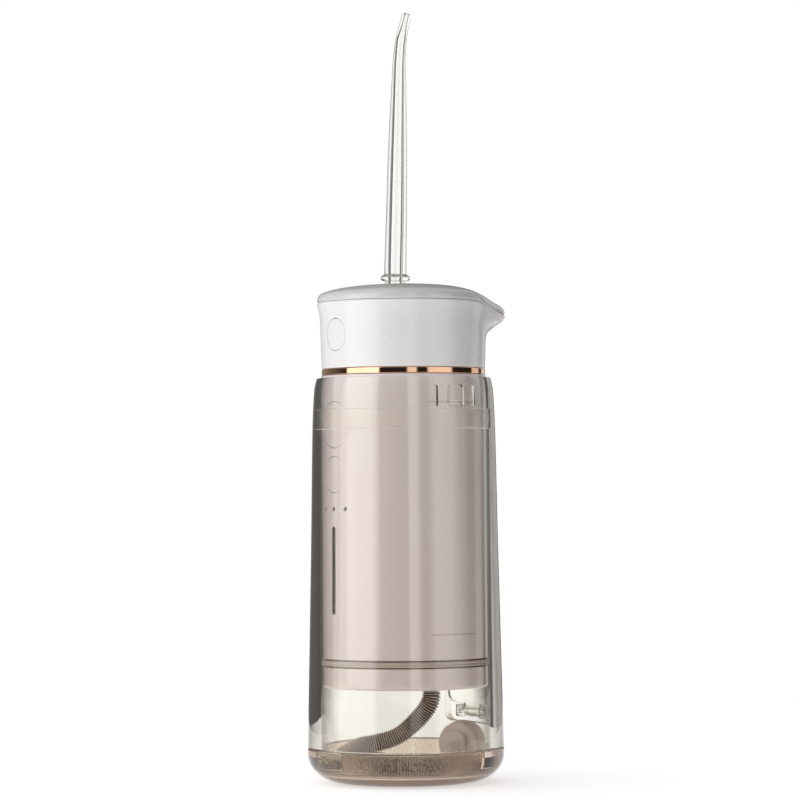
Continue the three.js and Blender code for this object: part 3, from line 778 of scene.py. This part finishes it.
def make_casing(looks):
    shell = lathe("shell", rounded([
        (23.7, 38.4, 0.3), (BODY_RADIUS, 38.4, 0.35), (BODY_RADIUS, BODY_TOP, 0.3), (23.7, BODY_TOP, 0.3),
    ]), closed=True)
    slit = [(25.15, 0), (25.4, 0), (BODY_RADIUS + 0.02, 0.1), (26.5, 0.1)]
    cuts = [plate("groove", lambda g: outline(15.8, z - 0.25, z + 0.25, 0.24, g), slit, turn)
            for z in (46.3, 116.8) for turn in (90, -90)]
    cuts += [round_hole(7.1, 110.1, 5, 0.15), round_hole(5.6, 94.9, 5, 0.15)]
    layers = [(22, 0), (25.4, 0), (25.52, 0.1), (27, 0.1)]
    cuts.append(plate("level", lambda g: outline(1.7, 52.1, 79.1, 0.84, g), layers))
    for turn in LIGHT_TURNS:
        cuts.append(plate("light", lambda g: outline(1.3, 83.75, 85.05, 0.65, g), layers, turn))
    carve(shell, *cuts)
    settle(shell, "casing_tube", looks["beige_plastic"], "pump_body", ["body_shell"])

    cap = lathe("cap", [
        (0, 29.3), (23.9, 29.3), (24.6, 29.4), (25.1, 29.6), (25.4, 29.95), (25.5, 30.4), (25.5, 35.7),
        (25.4, 35.9), (25.2, 36), (23.55, 36), (23.4, 36.15), (23.4, 41.8), (23.2, 42), (21.8, 42),
        (21.8, 31.8), (21.5, 31.5), (0, 31.5),
    ])
    carve(cap, rod("z", 1.2, 6, (0, 10, 30), 0))
    settle(cap, "casing_bottom", looks["beige_plastic"], "pump_body", ["bottom_cap"])
    barb = lathe("barb", [
        (0, 27.4), (3.2, 27.4), (3.5, 27.5), (3.7, 27.7), (3.8, 27.95), (3.8, 28.7), (3.7, 28.9),
        (3.5, 29), (0, 29),
    ], 96)
    barb.data.transform(Matrix.Translation((0, 10, 0)))
    settle(barb, "hose_socket", looks["beige_plastic"], "pump_body", ["hose_barb"])
    seal = lathe("seal", rounded([
        (23.7, 36.35, 0.3), (25.5, 36.35, 0.3), (26.1, 36.65, 0.2), (25.6, 37.2, 0.2), (26.1, 37.75, 0.2),
        (25.5, 38.05, 0.3), (23.7, 38.05, 0.3),
    ]), closed=True)
    settle(seal, "sliding_seal", looks["seal_rubber"], "pump_body", ["tank_seal_ring"])
    trim = lathe("trim", rounded([
        (23, 125.6, 0.2), (25.3, 125.6, 0.22), (25.3, 127.5, 0.22), (23, 127.5, 0.2),
    ]), closed=True)
    settle(trim, "mirror_band", looks["rose_metal"], "pump_body", ["trim_ring"])
    dark = looks["dark_plastic"]
    layers = [(23.9, 0), (25.3, 0), (25.4, -0.1)]
    window = plate("window", lambda g: outline(1.56, 52.2, 79.0, 0.77, g), layers)
    settle(window, "level_strip", dark, "pump_body", ["level_window"])
    for number, turn in enumerate(LIGHT_TURNS, 1):
        layers = [(20.6, 0), (25.2, 0), (25.32, -0.12)]
        light = plate("light", lambda g: outline(1.1, 83.85, 84.95, 0.55, g), layers, turn, 0.06, 4)
        settle(light, f"light_pipe_{number}", dark, "pump_body", [f"mode_light_{number}"])


def make_buttons(looks):
    for name, radius, height in (("power", 7.02, 110.1), ("mode", 5.52, 94.9)):
        layers = [(22.6, 0), (25.1, 0), (25.32, -0.04), (25.42, -0.15), (25.45, -0.35)]
        cap = plate("cap", disc_outline(radius, height), layers, 0, -0.18, 10)
        settle(cap, f"{name}_key_cap", looks["beige_plastic"], f"{name}_key",
               [f"{name}_button"])
    layers = [(21.9, 0), (25.3, 0), (25.5, -0.04), (25.6, -0.14), (25.64, -0.35)]
    cap = plate("cap", lambda g: outline(9.8, 132.9, 142.7, 4.9, g, 24), layers, 0, 0.03, 10)
    catch = bar((-4, -22.2, 138.3), (4, 6.5, 139.9), 0, 0.2)
    wide = rod("z", 8, 1.6, (0, NOZZLE_Y - 1, 139.1), 0.2)
    merge(cap, catch, wide)
    keyhole = rod("z", 4.8, 6, (0, NOZZLE_Y, 139), 0)
    merge(keyhole, rod("z", 4.8, 6, (0, NOZZLE_Y - 2, 139), 0))
    carve(cap, keyhole)
    settle(cap, "release_key_cap", looks["white_plastic"], "release_key", ["release_button"])


# ---------- head ----------
def plan_radius(angle):
    """The radius of the head's upper edge at an angle from +Y: a circle, the beak's smaller circle
    and the straight tangents between them."""
    turn = abs(angle)
    tangent = math.acos((HEAD_RADIUS - BEAK_TIP_RADIUS) / BEAK_CENTRE)
    touch = math.atan2(BEAK_TIP_RADIUS * math.sin(tangent), BEAK_CENTRE + BEAK_TIP_RADIUS * math.cos(tangent))
    if turn > tangent:
        return HEAD_RADIUS
    if turn > touch:
        return HEAD_RADIUS / math.cos(turn - tangent)
    return BEAK_CENTRE * math.cos(turn) + math.sqrt(BEAK_TIP_RADIUS**2 - (BEAK_CENTRE * math.sin(turn)) ** 2)


def beaked(piece, reach, sag):
    """Pulls a turned shape out into the beak, by reach(height, radius), and lowers it by sag(height)."""
    def pull(point):
        radius = math.hypot(point.x, point.y)
        longer = plan_radius(math.atan2(point.x, point.y)) / HEAD_RADIUS - 1
        scale = 1 + longer * reach(point.z, radius)
        drop = BEAK_DROP * smooth_step(point.y * scale, 5, 36) * sag(point.z)
        return Vector((point.x * scale, point.y * scale, point.z - drop))
    return bent(piece, pull)


def make_head(looks):
    outside = curve([
        (25.32, 128.2), (25.6, 136.8), (25.65, 139), (25.7, 141.2), (25.9, 144), (26.65, 147.7),
    ], 44)
    side = lathe("side", rounded([
        (23.6, HEAD_BOTTOM, 0.3), (25.25, HEAD_BOTTOM, 0.4), *outside, (26.5, HEAD_TOP, 0.2),
        (24.9, HEAD_TOP, 0.2), (24.1, 144.4), (23.8, 141.6), (23.7, 139.4), (23.6, 137.2),
    ]), closed=True)
    beaked(side, lambda z, r: smooth_step(z, 136, 144), lambda z: smooth_step(z, 141, HEAD_TOP))
    rim = [(22.5, 0), (25.5, 0), (25.62, 0.04), (25.7, 0.12), (27, 0.12)]
    button = plate("button", lambda g: outline(10.1, 132.75, 142.85, 5.05, g, 24), rim)
    socket = plate("socket", lambda g: outline(10.6, 130.2, 136.2, 1.4, g), [(20, 0), (30, 0)], 180)
    carve(side, button, socket)
    settle(side, "head_housing", looks["white_plastic"], "pump_body", ["head_shell"])

    crown = curve([
        (0.5, 153.8), (8, 153.7), (15, 153.2), (20.5, 152.4), (24.3, 151.45), (25.7, 150.75),
        (26.4, 149.9), (26.6, 149.2),
    ], 60)
    dome = lathe("dome", [
        (0, 153.8), *crown, (26.62, 148.75), (26.56, 148.4), (26.35, 148.2), (24.8, 148.2), (24.55, 148.9),
        (24.2, 149.8), (15, 151.5), (0, 152),
    ])
    beaked(dome, lambda z, r: (r / HEAD_RADIUS) ** 2, lambda z: 1)
    carve(dome, rod("z", 3.8, 12, (0, NOZZLE_Y, 153), 0), rim_cone(3.8, 153.62))
    settle(dome, "head_cap", looks["grey_plastic"], "pump_body", ["top_cap"], 40)

    cover = plate("cover", lambda g: outline(10, 130.5, 135.9, 1.2, g),
                  [(23.9, -0.1), (24.1, 0), (25.05, 0), (25.22, -0.08), (25.3, -0.28)], 180)
    carve(cover, plate("nick", lambda g: outline(3, 131.2, 131.9, 0.34, g), [(25.0, 0), (26.5, 0)], 180))
    settle(cover, "port_flap", looks["white_plastic"], "port_cover", ["charging_cover"])
    port = bar((-4.7, 15.5, 131.4), (4.7, 23, 135), 0, 0.5)
    inside = bar((-4.2, 18, 131.9), (4.2, 26, 134.5), 0, 0.4)
    carve(port, inside)
    settle(port, "charge_port", looks["steel"], "pump_body", ["charging_socket"])


def rim_cone(radius, height):
    """A tool that softens the upper rim of the nozzle's hole."""
    piece = lathe("cone", [
        (0, height - 1), (radius, height - 0.3), (radius + 0.1, height - 0.1), (radius + 0.35, height + 0.1),
        (radius + 0.5, height + 1.5), (0, height + 1.5),
    ], 96)
    piece.data.transform(Matrix.Translation((0, NOZZLE_Y, 0)))
    return piece


# ---------- nozzle ----------
def make_nozzle(looks):
    line = spaced(NOZZLE_LINE, 600)
    end = path_length(line)
    tube = curve([(3.45, 11.1), (2.9, 50), (2.2, 72), (2.0, 78), (1.8, 82), (1.65, 86)], 90)
    bore = curve([(0.95, 84), (1.0, 78), (1.2, 60), (1.5, 30), (1.5, 0.4)], 60)
    nozzle = lathe("nozzle", rounded([
        (1.6, 0, 0.1), (2.8, 0, 0.3), (3.2, 8.9, 0.2), (4.1, 8.9, 0.15), (4.52, 9.3, 0.15),
        (4.52, 10.05, 0.15), (3.9, 10.6, 0.15), (3.5, 10.75, 0.15), *tube, (1.45, end - 0.6),
        (1.3, end - 0.15), (1.15, end), (0.5, end), (0.5, end - 3), *bore,
    ]), 64, closed=True)

    def follow(point):
        place = min(max(point.z / end, 0), 1) * (len(line) - 1)
        at = min(int(place), len(line) - 2)
        middle = line[at].lerp(line[at + 1], place - at)
        way = (line[min(at + 2, len(line) - 1)] - line[max(at - 1, 0)]).normalized()
        return Vector((middle.x + point.x * way.z, point.y + NOZZLE_Y, middle.z - point.x * way.x))

    bent(nozzle, follow)
    settle(nozzle, "jet_tube", looks["clear_plastic"], "jet", ["nozzle"], 30)


# ---------- what stays as the frame has it ----------
KEPT = {
    "white_plastic": ("nozzle_seat", "crank_gear", "connecting_rod", "pump_piston", "pump_head", "chassis"),
    "seal_rubber": ("piston_seal", "inlet_valve", "outlet_valve", "inlet_tube", "delivery_tube"),
    "clear_plastic": ("pump_cylinder",),
    "steel": ("motor_can", "motor_pinion", "crank_axle", "chassis_screw_1", "chassis_screw_2"),
    "dark_plastic": ("power_switch", "mode_switch"),
    "board": ("circuit_board",),
    "battery_wrap": ("battery_cell",),
}


def dress_kept_nodes(looks):
    for slot, names in KEPT.items():
        for name in names:
            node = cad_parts[name]
            node.data.materials.clear()
            node.data.materials.append(looks[slot])


# ---------- floor and light ----------
FLOOR_HALF = 0.3               # in metres, like the floor's height
FLOOR_HEIGHT = -0.0002
FLOOR_CELLS = 24
FLOOR_GLOW = 0.5
CEILING_SHINE = 0.75
CEILING_LIGHT = 0.5
# Brightness round the room by degrees to the right of the main view, 180 behind the object: what
# gloss mirrors, what lights matt surfaces, and what shows through clear plastic.
SHINE = (
    (-180, 0.26), (-150, 0.26), (-88, 0.02), (-84, 1.9), (-36, 1.9), (-33, 0.02), (4, 0.02),
    (7, 1.05), (17, 1.05), (20, 0.02), (33, 0.02), (36, 1.05), (70, 1.05), (74, 0.02), (111, 0.02),
    (114, 0.8), (131, 0.8), (134, 0.05), (142, 0.1), (147, 0.8), (162, 0.8), (166, 0.14), (180, 0.2),
)
LIT_BY = (
    (-180, 0.7), (-140, 1.2), (-100, 1.5), (-60, 1.4), (-30, 1.15), (5, 0.7), (35, 0.26), (60, 0.07),
    (140, 0.05), (180, 0.7),
)
SEEN_THROUGH = (
    (-180, 1.0), (-118, 1.0), (-106, 0.2), (-72, 0.2), (-60, 1.0), (60, 1.0), (72, 0.2), (106, 0.2),
    (118, 1.0), (180, 1.0),
)


def make_floor():
    shape = bmesh.new()
    places = [FLOOR_HALF * (2 * i / FLOOR_CELLS - 1) for i in range(FLOOR_CELLS + 1)]
    rows = [[shape.verts.new((x, y, FLOOR_HEIGHT)) for x in places] for y in places]
    for near, far in zip(rows, rows[1:]):
        for i in range(FLOOR_CELLS):
            shape.faces.new((near[i], near[i + 1], far[i + 1], far[i]))
    floor = new_piece("floor", shape)
    material = bpy.data.materials.new("pale_floor")
    material.use_nodes = True
    tree = material.node_tree
    tree.nodes.clear()
    paper = put(tree, "ShaderNodeBsdfDiffuse", {"Color": linear(246, 246, 246)})
    glow = put(tree, "ShaderNodeEmission", {"Color": linear(255, 255, 255), "Strength": FLOOR_GLOW})
    both = put(tree, "ShaderNodeAddShader", {0: paper.outputs[0], 1: glow.outputs[0]})
    put(tree, "ShaderNodeOutputMaterial", {"Surface": both.outputs[0]})
    floor.data.materials.append(material)


def around(tree, angle, stops):
    """A brightness that depends on the direction round the room, from (degrees, brightness) stops."""
    share = put(tree, "ShaderNodeMapRange", {0: angle, 1: -180.0, 2: 180.0, 3: 0.0, 4: 1.0}).outputs[0]
    ramp = put(tree, "ShaderNodeValToRGB", {0: share})
    top = max(level for _, level in stops)
    band = ramp.color_ramp
    while len(band.elements) < len(stops):
        band.elements.new(0.5)
    for element, (degrees, level) in zip(band.elements, stops):
        element.position = (degrees + 180) / 360
        element.color = (level / top, level / top, level / top, 1)
    return math_node(tree, "MULTIPLY", ramp.outputs[0], top)


def mixed_value(tree, share, one, other):
    return put(tree, "ShaderNodeMix", {0: share, 2: one, 3: other}).outputs[0]


def part_along(tree, way, axis):
    values = {0: way, 1: tuple(axis)}
    return put(tree, "ShaderNodeVectorMath", values, operation="DOT_PRODUCT").outputs["Value"]


def make_light():
    """A plain studio: a large soft box to the left, smaller ones to the right, dark gaps between
    them for the gloss, a white room for what is seen through the tank, and a soft ceiling."""
    world = bpy.data.worlds.new("studio")
    bpy.context.scene.world = world
    world.use_nodes = True
    tree = world.node_tree
    tree.nodes.clear()
    way = put(tree, "ShaderNodeTexCoord").outputs["Generated"]
    right = part_along(tree, way, sideways)
    front = part_along(tree, way, toward)
    angle = math_node(tree, "MULTIPLY", math_node(tree, "ARCTAN2", right, front), 180 / math.pi)
    height = put(tree, "ShaderNodeSeparateXYZ", {0: way}).outputs[2]
    ceiling = put(tree, "ShaderNodeMapRange", {0: height, 1: 0.5, 2: 0.85, 3: 0.0, 4: 1.0}).outputs[0]
    shine = mixed_value(tree, ceiling, around(tree, angle, SHINE), CEILING_SHINE)
    through = mixed_value(tree, ceiling, around(tree, angle, SEEN_THROUGH), 0.9)
    path = put(tree, "ShaderNodeLightPath")
    level = mixed_value(tree, ceiling, around(tree, angle, LIT_BY), CEILING_LIGHT)
    level = mixed_value(tree, path.outputs["Is Glossy Ray"], level, shine)
    level = mixed_value(tree, path.outputs["Is Transmission Ray"], level, through)
    level = mixed_value(tree, path.outputs["Is Camera Ray"], level, 1.0)
    glow = put(tree, "ShaderNodeBackground", {"Color": linear(255, 255, 255), "Strength": level})
    put(tree, "ShaderNodeOutputWorld", {0: glow.outputs[0]})


make_camera()
looks = make_materials()
hose, hose_line, hose_length = make_hose(looks)
weights = make_weight(looks)
make_tank(looks)
make_fill_lid(looks)
make_latches(looks)
make_casing(looks)
make_buttons(looks)
make_head(looks)
make_nozzle(looks)
dress_kept_nodes(looks)
make_floor()
make_light()
bpy.context.scene.view_settings.view_transform = "Standard"
